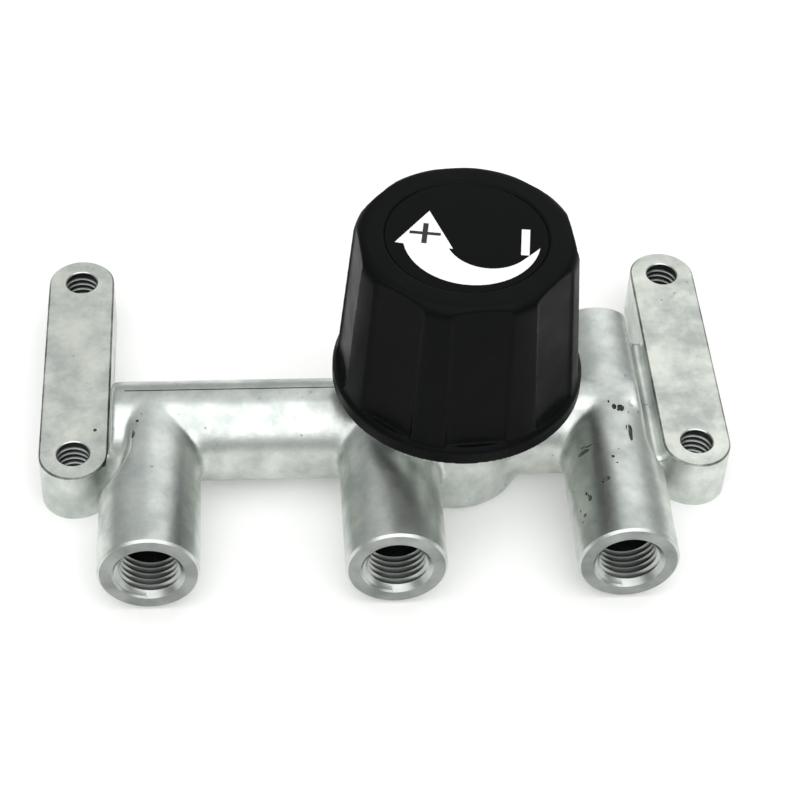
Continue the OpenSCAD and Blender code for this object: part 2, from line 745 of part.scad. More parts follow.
// Moulded knob: fluted skirt, stiffening ribs, hub with a hexagon socket
module knob() {
    socket_r = hex_r + fit_gap;
    rib_foot_z = clip_z + clip_t + 2 * run_gap;
    color(knob_black) at_valve() difference() {
        union() {
            difference() {
                rotate_extrude() knob_profile();
                rotate_extrude() knob_hollow();
                for (i = [0 : flute_count - 1])
                    rotate(flute_phase + 360 * i / flute_count) knob_flute();
            }
            translate([0, 0, hex_z]) cylinder(r = knob_hub_r, h = knob_ceiling_z - hex_z + cut);
            for (i = [0 : flute_count - 1])
                rotate(flute_phase + 360 * (i + 0.5) / flute_count)
                    translate([0, -rib_t / 2, rib_foot_z])
                        cube([knob_top_r - knob_wall / 2, rib_t, knob_ceiling_z - rib_foot_z + cut]);
        }
        translate([0, 0, hex_z - cut]) cylinder(r = socket_r, h = hex_h + cut, $fn = 6);
        translate([0, 0, hex_z]) cylinder(r = screw_shank_r + rest_gap, h = knob_h);
        translate([0, 0, screw_head_z]) cylinder(r = screw_head_r + run_gap, h = knob_h);
        translate([0, 0, label_z]) cylinder(r = label_r, h = label_recess + cut);
    }
}

// Screw that holds the knob on the adjusting screw, under the label
module knob_screw() {
    slot_w = 1;
    slot_h = 0.7;
    color(zinc_grey) at_valve() difference() {
        union() {
            translate([0, 0, screw_head_z]) cylinder(r = screw_head_r, h = screw_head_t);
            translate([0, 0, screw_head_z - screw_shank_l])
                cylinder(r = screw_shank_r, h = screw_shank_l + screw_head_t / 2);
        }
        for (turn = [0, 90]) rotate(turn)
            translate([-screw_head_r / 2, -slot_w / 2, screw_head_z + screw_head_t - slot_h])
                cube([screw_head_r, slot_w, slot_h + cut]);
    }
}

// Printed label disc in the knob's recess
module knob_label() {
    color(knob_black) at_valve() translate([0, 0, label_z])
        cylinder(r = label_r - rest_gap, h = label_t);
}

manifold_body();
seat_insert();
seat_washer();
valve_poppet();
poppet_seal();
poppet_spring();
diaphragm();
diaphragm_rivet();
relief_seat();
diaphragm_plate();
slip_ring();
range_spring();
spring_washer();
spring_nut();
bonnet();
thrust_washer();
adjusting_screw();
retaining_clip();
knob();
knob_screw();
knob_label();
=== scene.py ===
"""Looks of the air pressure regulator: a cast aluminium manifold, a black moulded knob, a printed label."""
import math
import random
import bpy
from mathutils import Matrix, Vector


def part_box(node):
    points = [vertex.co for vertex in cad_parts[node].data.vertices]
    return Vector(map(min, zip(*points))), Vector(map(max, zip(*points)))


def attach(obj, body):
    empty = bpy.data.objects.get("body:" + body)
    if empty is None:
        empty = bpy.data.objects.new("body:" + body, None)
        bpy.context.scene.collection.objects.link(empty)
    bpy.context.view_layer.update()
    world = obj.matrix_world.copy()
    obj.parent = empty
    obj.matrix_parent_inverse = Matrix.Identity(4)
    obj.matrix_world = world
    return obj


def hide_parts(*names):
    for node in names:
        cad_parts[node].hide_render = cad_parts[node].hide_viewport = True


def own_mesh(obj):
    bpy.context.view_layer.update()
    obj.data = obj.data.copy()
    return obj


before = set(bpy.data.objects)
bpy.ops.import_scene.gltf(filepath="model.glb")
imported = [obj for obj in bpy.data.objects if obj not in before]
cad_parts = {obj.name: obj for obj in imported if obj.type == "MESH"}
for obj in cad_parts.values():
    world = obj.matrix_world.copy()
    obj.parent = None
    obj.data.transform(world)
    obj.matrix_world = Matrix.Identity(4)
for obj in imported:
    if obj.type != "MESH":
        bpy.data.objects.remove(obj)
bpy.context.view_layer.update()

# One millimetre in metres, and distances in metres below which two places count as one
MM = 0.001
NEAR = 1e-6
TOUCH = 1e-7

# Sizes in millimetres, mostly as in the part's source: first the two bars and what runs beside them
BAR_X = 63.5
BAR_END = 25.4
BAR_W = 14.0
BAR_H = 12.0
HOLE_R = 3.3
HOLE_EDGE = 0.2
HOLE_THREAD_R = 3.95
HOLE_THREAD_END = 11.3
EDGE_BREAK = 0.4
GROOVE_W = 2.4
GROOVE_Z = 9.5
GROOVE_RUN = 3.5
GROOVE_DRAFT = math.radians(14)
WEB_RUN = 5.5
END_DRAFT = math.radians(6)

# Gallery, ports and passages
GALLERY_Y = -18.25
GALLERY_R = 10.3
AXIS_Z = 10.5
FRONT_PORTS = (-48.0, 0.0, 45.5)
REAR_PORT = 45.5
FRONT_Y = -56.5
REAR_Y = 6.0
UNDERSIDE_X = 75.0
UNDERSIDE_Y = 36.0
PORT_FACE_R = 10.0
PORT_ROOT_R = 10.2
PORT_TAP_R = 5.7
PORT_THREAD_R = 6.75
PORT_THREAD_START = -1.5
PORT_THREAD_END = 8.4
TAP_START = 1.0
TAP_END = 15.0
TAP_TIP = 17.0
TAP_REACH = 22.0
PORT_EDGE = 0.5
PORT_CLEAR_R = 10.8
MOUTH_R = 7.1
PASSAGE_R = 3.5
FRONT_LINK = 20.0
REAR_LINK = 12.25

# Boss on the valve's axis, the bowl in it, and the way out to the gallery
VALVE_X = 13.75
OUTLET_AWAY = 11.6
OUTLET_X = VALVE_X - OUTLET_AWAY
OUTLET_R = 2.2
OUTLET_TOP_Z = 20.0
BOSS_R = 14.6
BOSS_FOOT_Z = 0.3
BOSS_EDGE = 0.7
BOSS_TOP_Z = 15.6
BOWL_R = 21.5
RIM_Z = 28.0
RIM_CLEAR_R = 24.0
CHAMBER_R = 6.5
CHAMBER_Z = 3.4
LEDGE_Z = 14.2
INSERT_R = 8.0
BOWL_FLOOR_Z = 18.5
BOWL_BORE_R = 15.0
COLLAR_BORE_R = 19.0
BOWL_TOP_Z = 30.0
CLAMP_Z = 22.5

# Knob
KNOB_Z = 25.7
KNOB_TOP_Z = 62.6
KNOB_CEILING_Z = 59.6
RIM_R = 25.0
RIM_H = 3.6
RIM_EDGE = 0.6
SKIRT_R = 24.3
SKIRT_Z = KNOB_Z + RIM_H
KNOB_TOP_R = 21.6
KNOB_SHOULDER = 2.6
SHOULDER_STEPS = 8
KNOB_WALL = 2.2
FLAT_COUNT = 8
FLAT_W = 11.0
FLAT_FOOT_R = 23.0
FLAT_TOP_R = 20.5
FLAT_RISE = 2.6
FLAT_STEP = 0.2
FLAT_WALL = math.radians(35)
FLAT_PHASE = math.radians(-86)
RIB_T = 1.4
RIB_FOOT_Z = 54.4
HUB_R = 8.05
HEX_R = 4.9
HEX_Z = 54.0
HEX_TURN = math.radians(30)
HEX_TOP_Z = 58.2
SCREW_HOLE_R = 2.1
SCREW_HEAD_R = 4.1
SCREW_HEAD_Z = 59.5
LABEL_SEAT_R = 15.8
LABEL_SEAT_Z = 61.9
LABEL_Z = 62.3

# Springs and diaphragm
COIL_SIDES = 16
COIL_STEPS = 32
RANGE_SPRING_R = 8.5
RANGE_SPRING_WIRE = 2.6
RANGE_SPRING_TURNS = 4
POPPET_SPRING_R = 3.6
POPPET_SPRING_WIRE = 0.8
POPPET_SPRING_TURNS = 3.25
RUBBER_T = 1.5
RUBBER_R = 18.6
RIVET_R = 2.0
FOLD_R = 2.2
FOLD_MID_R = 12.8
FOLD_STEPS = 16

# Radius of the gallery where it swells into the boss, with the distance from the valve's axis
SWELL = ((10.3, 12.1), (10.4, 11.1), (10.72, 10.1), (11.3, 9.1))

# As-cast stock that the machining takes off again, and how far a cutter runs past the face it meets
STOCK = 1.5
OVERLAP = 0.1

# Both threads have the same pitch, a small flat at the root, and flanks of 30 degrees
THREAD_PITCH = 1.411
THREAD_TIP_W = 0.14
THREAD_OVERLAP = 0.02
THREAD_FLANK = math.tan(math.radians(30))

# Grain of the soft skins, the least edge that is kept, and the angles over which faces shade smoothly
CAST_VOXEL = 0.5
KNOB_VOXEL = 0.3
SEAM = 0.003
CAST_SMOOTH = math.radians(28)
PIECE_SMOOTH = math.radians(40)

# Thickness of the print
INK_T = 0.03


def linear(code):
    """The linear colour of an sRGB hex value."""
    parts = [int(code[i:i + 2], 16) / 255 for i in (1, 3, 5)]
    return tuple(p / 12.92 if p < 0.04045 else ((p + 0.055) / 1.055) ** 2.4 for p in parts) + (1.0,)


def add(tree, kind, values=(), links=(), **settings):
    """Adds a node with its settings, its socket values and its incoming links."""
    node = tree.nodes.new(kind)
    for name, value in settings.items():
        setattr(node, name, value)
    for socket, value in dict(values).items():
        node.inputs[socket].default_value = value
    for socket, source in dict(links).items():
        tree.links.new(source, node.inputs[socket])
    return node


def new_material(name):
    """An empty material with its shader, and the object coordinates that its patterns read."""
    material = bpy.data.materials.new(name)
    material.use_nodes = True
    tree = material.node_tree
    shader = tree.nodes["Principled BSDF"]
    place = add(tree, "ShaderNodeTexCoord").outputs["Object"]
    return material, tree, shader, place


def per_mm(size):
    """Texture scale at which one pattern cell is size millimetres across."""
    return 1 / (size * MM)


# Cast aluminium: grey and softly mottled, with wide highlights, a few small dark pores and ragged stains
def cast_aluminium(name, dark, pale, rough):
    material, tree, shader, place = new_material(name)
    clouds = add(tree, "ShaderNodeTexNoise", {"Scale": per_mm(7), "Detail": 5, "Roughness": 0.62},
                 {"Vector": place})
    grain = add(tree, "ShaderNodeTexNoise", {"Scale": per_mm(0.8), "Detail": 3}, {"Vector": place})
    ramp = add(tree, "ShaderNodeValToRGB", links={"Fac": clouds.outputs["Fac"]})
    ramp.color_ramp.elements[0].position = 0.36
    ramp.color_ramp.elements[0].color = linear(dark)
    ramp.color_ramp.elements[1].position = 0.66
    ramp.color_ramp.elements[1].color = linear(pale)
    cells = add(tree, "ShaderNodeTexVoronoi", {"Scale": per_mm(3.5), "Randomness": 1.0}, {"Vector": place})
    pore = add(tree, "ShaderNodeMapRange", {"From Min": 0.03, "From Max": 0.1, "To Min": 0.5, "To Max": 1.0},
               {"Value": cells.outputs["Distance"]})
    sound = add(tree, "ShaderNodeMath", {1: 0.6}, {0: cells.outputs["Color"]}, operation="LESS_THAN")
    pitted = add(tree, "ShaderNodeMath", links={0: pore.outputs["Result"], 1: sound.outputs[0]},
                 operation="MAXIMUM")
    spots = add(tree, "ShaderNodeTexNoise", {"Scale": per_mm(4), "Detail": 6, "Roughness": 0.7},
                {"Vector": place})
    stain = add(tree, "ShaderNodeMapRange",
                {"From Min": 0.64, "From Max": 0.72, "To Min": 1.0, "To Max": 0.5},
                {"Value": spots.outputs["Fac"]})
    worn = add(tree, "ShaderNodeMath", links={0: pitted.outputs[0], 1: stain.outputs["Result"]},
               operation="MULTIPLY")
    tone = add(tree, "ShaderNodeMix", {"Factor": 1.0}, data_type="RGBA", blend_type="MULTIPLY")
    tree.links.new(ramp.outputs["Color"], tone.inputs[6])
    tree.links.new(worn.outputs[0], tone.inputs[7])
    tree.links.new(tone.outputs[2], shader.inputs["Base Color"])
    dull = add(tree, "ShaderNodeMapRange",
               {"From Min": 0.3, "From Max": 0.7, "To Min": rough + 0.07, "To Max": rough - 0.07},
               {"Value": clouds.outputs["Fac"]})
    tree.links.new(dull.outputs["Result"], shader.inputs["Roughness"])
    skin = add(tree, "ShaderNodeBump", {"Strength": 0.25, "Distance": 0.12 * MM},
               {"Height": grain.outputs["Fac"]})
    tree.links.new(skin.outputs["Normal"], shader.inputs["Normal"])
    shader.inputs["Metallic"].default_value = 1.0
    return material


# Machined aluminium: smooth, with fine tool lines; bright on port threads, and on chamfers as a painted
# highlight;
# grey on faces and in the bars' threads, darkened as a painted dim reflection; dark where it is drilled, as
# painted shade
def machined_aluminium(name, dark, pale, rough):
    material, tree, shader, place = new_material(name)
    smear = add(tree, "ShaderNodeTexNoise", {"Scale": per_mm(5), "Detail": 3}, {"Vector": place})
    ramp = add(tree, "ShaderNodeValToRGB", links={"Fac": smear.outputs["Fac"]})
    ramp.color_ramp.elements[0].position = 0.3
    ramp.color_ramp.elements[0].color = linear(dark)
    ramp.color_ramp.elements[1].position = 0.7
    ramp.color_ramp.elements[1].color = linear(pale)
    tree.links.new(ramp.outputs["Color"], shader.inputs["Base Color"])
    stretch = add(tree, "ShaderNodeMapping", {"Scale": (1.0, 0.08, 1.0)}, {"Vector": place})
    lines = add(tree, "ShaderNodeTexNoise", {"Scale": per_mm(0.35), "Detail": 2},
                {"Vector": stretch.outputs["Vector"]})
    cut = add(tree, "ShaderNodeBump", {"Strength": 0.2, "Distance": 0.05 * MM},
              {"Height": lines.outputs["Fac"]})
    tree.links.new(cut.outputs["Normal"], shader.inputs["Normal"])
    shader.inputs["Metallic"].default_value = 1.0
    shader.inputs["Roughness"].default_value = rough
    return material


# Moulded plastic, label film or rubber: one colour with a soft sheen over a very fine moulded grain
def moulded_plastic(name, code, rough, sheen_level=0.5):
    material, tree, shader, place = new_material(name)
    haze = add(tree, "ShaderNodeTexNoise", {"Scale": per_mm(7), "Detail": 4}, {"Vector": place})
    grain = add(tree, "ShaderNodeTexNoise", {"Scale": per_mm(0.45), "Detail": 2}, {"Vector": place})
    sheen = add(tree, "ShaderNodeMapRange",
                {"From Min": 0.3, "From Max": 0.7, "To Min": rough - 0.05, "To Max": rough + 0.07},
                {"Value": haze.outputs["Fac"]})
    tree.links.new(sheen.outputs["Result"], shader.inputs["Roughness"])
    skin = add(tree, "ShaderNodeBump", {"Strength": 0.12, "Distance": 0.05 * MM},
               {"Height": grain.outputs["Fac"]})
    tree.links.new(skin.outputs["Normal"], shader.inputs["Normal"])
    shader.inputs["Base Color"].default_value = linear(code)
    shader.inputs["IOR"].default_value = 1.49
    shader.inputs["Specular IOR Level"].default_value = sheen_level
    return material


# Screen-printed ink: one flat colour, with specks that only vary its dull sheen
def printed_ink(name, code):
    material, tree, shader, place = new_material(name)
    speck = add(tree, "ShaderNodeTexNoise", {"Scale": per_mm(0.6), "Detail": 2}, {"Vector": place})
    dull = add(tree, "ShaderNodeMapRange", {"To Min": 0.4, "To Max": 0.55}, {"Value": speck.outputs["Fac"]})
    tree.links.new(dull.outputs["Result"], shader.inputs["Roughness"])
    shader.inputs["Base Color"].default_value = linear(code)
    shader.inputs["IOR"].default_value = 1.47
    return material


# Plain turned, pressed or drawn metal of the inner pieces, with a little cloudiness
def inner_metal(name, dark, pale, rough):
    material, tree, shader, place = new_material(name)
    clouds = add(tree, "ShaderNodeTexNoise", {"Scale": per_mm(3), "Detail": 4}, {"Vector": place})
    ramp = add(tree, "ShaderNodeValToRGB", links={"Fac": clouds.outputs["Fac"]})
    ramp.color_ramp.elements[0].color = linear(dark)
    ramp.color_ramp.elements[1].color = linear(pale)
    tree.links.new(ramp.outputs["Color"], shader.inputs["Base Color"])
    wear = add(tree, "ShaderNodeMapRange", {"To Min": rough + 0.08, "To Max": rough - 0.08},
               {"Value": clouds.outputs["Fac"]})
    tree.links.new(wear.outputs["Result"], shader.inputs["Roughness"])
    shader.inputs["Metallic"].default_value = 1.0
    return material


def clear_selection():
    """Leaves edit mode and deselects everything."""
    if bpy.context.mode != "OBJECT":
        bpy.ops.object.mode_set(mode="OBJECT")
    bpy.ops.object.select_all(action="DESELECT")


def take(name):
    """Names the primitive that was just added."""
    piece = bpy.context.active_object
    piece.name = name
    piece.data.name = name
    return piece


def activate(piece):
    """Makes one piece the only selected and active one."""
    clear_selection()
    piece.select_set(True)
    bpy.context.view_layer.objects.active = piece


def settle(piece):
    """Puts a piece's place, turn and size into its mesh."""
    activate(piece)
    bpy.ops.object.transform_apply(location=True, rotation=True, scale=True)
    return piece


def pick(piece, test, part="VERT"):
    """Opens a piece in edit mode with only those vertices or faces selected whose middle passes the test."""
    activate(piece)
    bpy.ops.object.mode_set(mode="EDIT")
    bpy.ops.mesh.select_mode(type=part)
    bpy.ops.mesh.select_all(action="DESELECT")
    bpy.ops.object.mode_set(mode="OBJECT")
    mesh = piece.data
    chosen = mesh.vertices if part == "VERT" else mesh.polygons
    for item in chosen:
        item.select = test(item.co if part == "VERT" else item.center)
    bpy.ops.object.mode_set(mode="EDIT")


def turned(name, profile, sides=96):
    """A solid turned about Z: a first drum, and then one ring after another drawn from its end cap.
    The profile is a list of radius and height in millimetres."""
    (r0, z0), (r1, z1) = profile[:2]
    clear_selection()
    bpy.ops.mesh.primitive_cone_add(vertices=sides, radius1=r0 * MM, radius2=r1 * MM, depth=(z1 - z0) * MM,
                                    location=(0, 0, (z0 + z1) / 2 * MM))
    piece = settle(take(name))
    pick(piece, lambda middle: abs(middle.z - z1 * MM) < TOUCH and middle.to_2d().length < NEAR, "FACE")
    r, z = r1, z1
    for next_r, next_z in profile[2:]:
        bpy.ops.mesh.extrude_region_move(TRANSFORM_OT_translate={"value": (0, 0, (next_z - z) * MM)})
        if next_r != r:
            bpy.ops.transform.resize(value=(next_r / r, next_r / r, 1), center_override=(0, 0, next_z * MM))
        r, z = next_r, next_z
    bpy.ops.mesh.select_all(action="SELECT")
    bpy.ops.mesh.normals_make_consistent(inside=False)
    clear_selection()
    return piece


def lay(piece, place, turn=(0, 0, 0)):
    """Turns a piece made at the origin and moves it to its place in millimetres."""
    piece.rotation_euler = turn
    piece.location = Vector(place) * MM
    return settle(piece)


def slotted(name, profile, half_length):
    """An upright slot-shaped block with round ends, turned first and then drawn out along Y."""
    piece = turned(name, profile)
    for side in (-1, 1):
        pick(piece, lambda at, side=side: at.y * side > NEAR)
        bpy.ops.transform.translate(value=(0, side * half_length * MM, 0))
    clear_selection()
    return piece


def block(name, low, high):
    """A plain block between two corners in millimetres, used as stock or as a cutter."""
    clear_selection()
    low, high = Vector(low), Vector(high)
    bpy.ops.mesh.primitive_cube_add(size=1, location=(low + high) / 2 * MM)
    piece = take(name)
    piece.scale = (high - low) * MM
    return settle(piece)


def joined(name, pieces):
    """Joins pieces into the first one."""
    activate(pieces[0])
    for piece in pieces[1:]:
        piece.select_set(True)
    bpy.ops.object.join()
    return take(name)


def cut_away(piece, cutter, keep_cutter=False):
    """Cuts one piece with another, whose finish goes to the new faces."""
    modifier = piece.modifiers.new("cut", "BOOLEAN")
    modifier.operation = "DIFFERENCE"
    modifier.solver = "MANIFOLD"
    modifier.object = cutter
    activate(piece)
    bpy.ops.object.modifier_apply(modifier="cut")
    if not keep_cutter:
        bpy.data.objects.remove(cutter)


def merged(pieces):
    """Melts pieces that may overlap into the first one."""
    for piece in pieces[1:]:
        modifier = pieces[0].modifiers.new("merge", "BOOLEAN")
        modifier.operation = "UNION"
        modifier.solver = "MANIFOLD"
        modifier.object = piece
        activate(pieces[0])
        bpy.ops.object.modifier_apply(modifier="merge")
        bpy.data.objects.remove(piece)
    return pieces[0]


def dress(piece, finishes, worn):
    """Gives a piece all of the finishes, and its faces the one that is worn."""
    piece.data.materials.clear()
    for finish in finishes:
        piece.data.materials.append(finish)
    pick(piece, lambda at: True)
    piece.active_material_index = finishes.index(worn)
    bpy.ops.object.material_slot_assign()
    clear_selection()


def apply_modifier(piece, kind, **settings):
    """Adds a modifier with its settings and applies it."""
    modifier = piece.modifiers.new(kind, kind)
    for name, value in settings.items():
        setattr(modifier, name, value)
    activate(piece)
    bpy.ops.object.modifier_apply(modifier=kind)


def thread_cutter(name, crest_r, root_r, low, high, steps):
    """A helical vee that cuts one right-hand thread about Z."""
    inner_r = crest_r - THREAD_OVERLAP
    foot_w = THREAD_TIP_W + 2 * THREAD_FLANK * (root_r - inner_r)
    clear_selection()
    bpy.ops.mesh.primitive_plane_add(size=1, location=((inner_r + root_r) / 2 * MM, 0, low * MM),
                                     rotation=(math.pi / 2, 0, 0))
    piece = take(name)
    piece.scale = ((root_r - inner_r) * MM, foot_w * MM, 1)
    settle(piece)
    pick(piece, lambda at: at.x > (inner_r + root_r) / 2 * MM)
    bpy.ops.transform.resize(value=(1, 1, THREAD_TIP_W / foot_w), center_override=(root_r * MM, 0, low * MM))
    bpy.ops.mesh.select_all(action="SELECT")
    bpy.ops.mesh.delete(type="ONLY_FACE")
    clear_selection()
    turns = round((high - low) / THREAD_PITCH)
    apply_modifier(piece, "SCREW", screw_offset=THREAD_PITCH * MM, iterations=turns,
                   steps=steps, render_steps=steps, use_smooth_shade=False)
    pick(piece, lambda at: True)
    bpy.ops.mesh.remove_doubles(threshold=TOUCH)
    bpy.ops.mesh.fill_holes(sides=0)
    bpy.ops.mesh.select_all(action="SELECT")
    bpy.ops.mesh.normals_make_consistent(inside=False)
    clear_selection()
    return piece


def copies(piece, places):
    """Copies a piece, each copy with its own mesh, to each place and turn, and removes the pattern."""
    made = []
    for i, (place, turn) in enumerate(places):
        copy = piece.copy()
        copy.data = piece.data.copy()
        copy.name = f"{piece.name}_{i}"
        bpy.context.scene.collection.objects.link(copy)
        made.append(lay(copy, place, turn))
    bpy.data.objects.remove(piece)
    return made


# Turns that lay an upright piece down, and the place and turn of what repeats on the casting
UPRIGHT = (0, 0, 0)
ALONG_X = (0, math.pi / 2, 0)
ALONG_Y = (-math.pi / 2, 0, 0)
AGAINST_Y = (math.pi / 2, 0, 0)
UPSIDE_DOWN = (math.pi, 0, 0)
FRONT_FACES = [((x, FRONT_Y, AXIS_Z), ALONG_Y) for x in FRONT_PORTS]
PORTS = FRONT_FACES + [((REAR_PORT, REAR_Y, AXIS_Z), AGAINST_Y)]
BARS = [((side * BAR_X, 0, 0), UPRIGHT) for side in (-1, 1)]
BAR_HOLES = [((sx * BAR_X, sy * BAR_END, 0), UPRIGHT) for sx in (-1, 1) for sy in (-1, 1)]
ON_AXIS = (VALVE_X, GALLERY_Y, 0)


def as_cast_stock():
    """The casting as it leaves the mould: every form a little long where it is machined later."""
    floor_r = BAR_W / 2 + GROOVE_W
    mouth_z = 3 * GALLERY_R
    mouth_r = floor_r + (mouth_z - GROOVE_Z) * math.tan(GROOVE_DRAFT)
    # Clear room round the bars above the groove's floor, and below it in front of their ends
    groove = slotted("groove", [(floor_r, GROOVE_Z), (mouth_r, mouth_z)], BAR_END + GROOVE_RUN)
    front = turned("front", [(floor_r - GROOVE_Z * math.tan(GROOVE_DRAFT), 0), (floor_r, GROOVE_Z)])
    pick(front, lambda at: at.y > NEAR)
    bpy.ops.transform.translate(value=(0, GROOVE_RUN * MM, 0))
    lay(front, (0, -BAR_END - GROOVE_RUN, 0))
    grooves = copies(groove, BARS)
    fronts = copies(front, BARS)
    # Gallery, with the groove beside the right bar and a steep end above the left one
    gallery = turned("gallery", [(GALLERY_R, -BAR_X), (GALLERY_R, BAR_X)])
    lay(gallery, (0, GALLERY_Y, AXIS_Z), ALONG_X)
    cut_away(gallery, grooves[1], keep_cutter=True)
    ending = block("ending", (-BAR_X - BAR_W, GALLERY_Y - BAR_W, BAR_H),
                   (BAR_W / 2 - BAR_X, GALLERY_Y + BAR_W, mouth_z))
    pick(ending, lambda at: at.z > AXIS_Z * 2 * MM and at.x > -BAR_X * MM)
    bpy.ops.transform.translate(value=((mouth_z - BAR_H) * math.tan(END_DRAFT) * MM, 0, 0))
    cut_away(gallery, ending)
    # Port tubes, cut back where the bars need clear room
    front_l = GALLERY_Y - FRONT_Y + STOCK
    rear_l = REAR_Y - GALLERY_Y + STOCK
    tubes = []
    for x in FRONT_PORTS:
        tube = turned("tube", [(PORT_FACE_R, 0), (PORT_ROOT_R, front_l)])
        tubes.append(lay(tube, (x, FRONT_Y - STOCK, AXIS_Z), ALONG_Y))
    tube = turned("tube", [(PORT_FACE_R, 0), (PORT_ROOT_R, rear_l)])
    tubes.append(lay(tube, (REAR_PORT, REAR_Y + STOCK, AXIS_Z), AGAINST_Y))
    for tube in tubes:
        for cutter in grooves + fronts:
            cut_away(tube, cutter, keep_cutter=True)
    for cutter in grooves + fronts:
        bpy.data.objects.remove(cutter)
    # Webs from the outer tubes to the bars, with the front of their feet drawn forward
    foot = AXIS_Z - GALLERY_R
    webs = [block("web", (-BAR_X, -BAR_END, foot), (FRONT_PORTS[0], GALLERY_Y, GROOVE_Z)),
            block("web", (REAR_PORT, -BAR_END, foot), (BAR_X, REAR_Y, GROOVE_Z))]
    for web in webs:
        pick(web, lambda at: at.y < (STOCK - BAR_END) * MM and at.z < AXIS_Z / 2 * MM)
        bpy.ops.transform.translate(value=(0, -WEB_RUN * MM, 0))
    # Bars, the boss, and the gallery's swell into it
    bar = slotted("bar", [(BAR_W / 2, -STOCK), (BAR_W / 2, BAR_H + STOCK)], BAR_END)
    bars = copies(bar, BARS)
    boss = turned("boss", [(BOSS_R - BOSS_EDGE, BOSS_FOOT_Z), (BOSS_R, BOSS_FOOT_Z + BOSS_EDGE),
                           (BOSS_R, BOSS_TOP_Z), (BOWL_R, CLAMP_Z), (BOWL_R, RIM_Z + STOCK)])
    lay(boss, ON_AXIS)
    swell = turned("swell", [(r, -away) for r, away in SWELL] + [(r, away) for r, away in reversed(SWELL)])
    lay(swell, (VALVE_X, GALLERY_Y, AXIS_Z), ALONG_X)
    return joined("casting", [gallery] + tubes + webs + bars + [boss, swell])


# Marks of the mould on the port tubes: tube, place along it, degrees from its top, half width, half length
PITS = (
    (REAR_PORT, -33.5, -44, 1.5, 0.5),
    (REAR_PORT, -42.5, -20, 0.5, 0.6),
    (REAR_PORT, -45.5, -45, 0.5, 0.8),
    (REAR_PORT, -48.6, -56, 0.5, 0.5),
    (REAR_PORT, -23.5, 1, 0.5, 0.8),
    (REAR_PORT, -23.8, 9, 0.7, 1.0),
    (REAR_PORT, -30.4, 15, 0.5, 2.2),
    (REAR_PORT, -37.0, -10, 0.35, 0.35),
    (FRONT_PORTS[0], -28.1, -18, 0.45, 0.9),
    (FRONT_PORTS[0], -24.7, -13, 0.35, 0.4),
)
PIT_DEPTH = 0.4
BAR_PIT = (-59.3, -19.0, BAR_H)

# Sizes of a pit and its two neighbours, how far these lie from it in degrees and millimetres, and how ragged
PIT_SIZES = (1.0, 0.55, 0.4)
PIT_TURN = 9
PIT_SPREAD = 2
PIT_RAGGED = 0.4
PIT_SEED = 5

# Parting line of the mould on the gallery: first and last place, degrees behind its top
PARTING = (-53.0, -9.0, 10)
PARTING_W = 0.3
PARTING_DEPTH = 0.25


def pit_cutter(half_w, half_l, depth, seed):
    """A ragged blob with its middle at the origin."""
    clear_selection()
    bpy.ops.mesh.primitive_ico_sphere_add(subdivisions=2, radius=MM)
    pit = take("pit")
    pick(pit, lambda at: True)
    bpy.ops.transform.vertex_random(offset=PIT_RAGGED * MM, seed=seed)
    clear_selection()
    pit.scale = (half_w, half_l, depth)
    return settle(pit)


def mould_marks():
    """Cutters for the tubes' pits, each with two smaller ones beside it, a bar's pit and the parting line."""
    chance = random.Random(PIT_SEED)
    marks = []
    for x, y, tilt, half_w, half_l in PITS:
        for size in PIT_SIZES:
            pit = pit_cutter(half_w * size, half_l * size, PIT_DEPTH * size, chance.randint(0, 999))
            lay(pit, (0, 0, PORT_FACE_R))
            away = 0 if size == 1.0 else 1
            turn = math.radians(tilt + away * chance.uniform(-PIT_TURN, PIT_TURN))
            along = y + away * chance.uniform(-PIT_SPREAD, PIT_SPREAD)
            marks.append(lay(pit, (x, along, AXIS_Z), (0, turn, 0)))
    marks.append(lay(pit_cutter(PIT_DEPTH, PIT_DEPTH, PIT_DEPTH, 1), BAR_PIT))
    first, last, tilt = PARTING
    line = block("parting", (first, -PARTING_W / 2, GALLERY_R - PARTING_DEPTH),
                 (last, PARTING_W / 2, 2 * GALLERY_R))
    marks.append(lay(line, (0, GALLERY_Y, AXIS_Z), (-math.radians(tilt), 0, 0)))
    return marks


def bar_edges():
    """Cutters that break the sharp edges round the tops of the bars."""
    half_w = BAR_W / 2
    ring_r = half_w + EDGE_BREAK
    ring = slotted("edge", [(ring_r, BAR_H - EDGE_BREAK), (ring_r, BAR_H + STOCK)], BAR_END)
    foot = (half_w + STOCK, BAR_H - EDGE_BREAK - STOCK)
    tip = (half_w - EDGE_BREAK - STOCK, BAR_H + STOCK)
    cut_away(ring, slotted("kept", [foot, tip], BAR_END))
    return copies(ring, BARS)


def port_edges():
    """Cutters that break the outer edges of the front port faces."""
    ring = turned("outer", [(PORT_CLEAR_R, -STOCK), (PORT_CLEAR_R, PORT_EDGE + STOCK)])
    foot = (PORT_FACE_R - PORT_EDGE - 2 * STOCK, -2 * STOCK)
    tip = (PORT_FACE_R + 2 * STOCK, PORT_EDGE + 2 * STOCK)
    cut_away(ring, turned("kept", [foot, tip]))
    return copies(ring, FRONT_FACES)


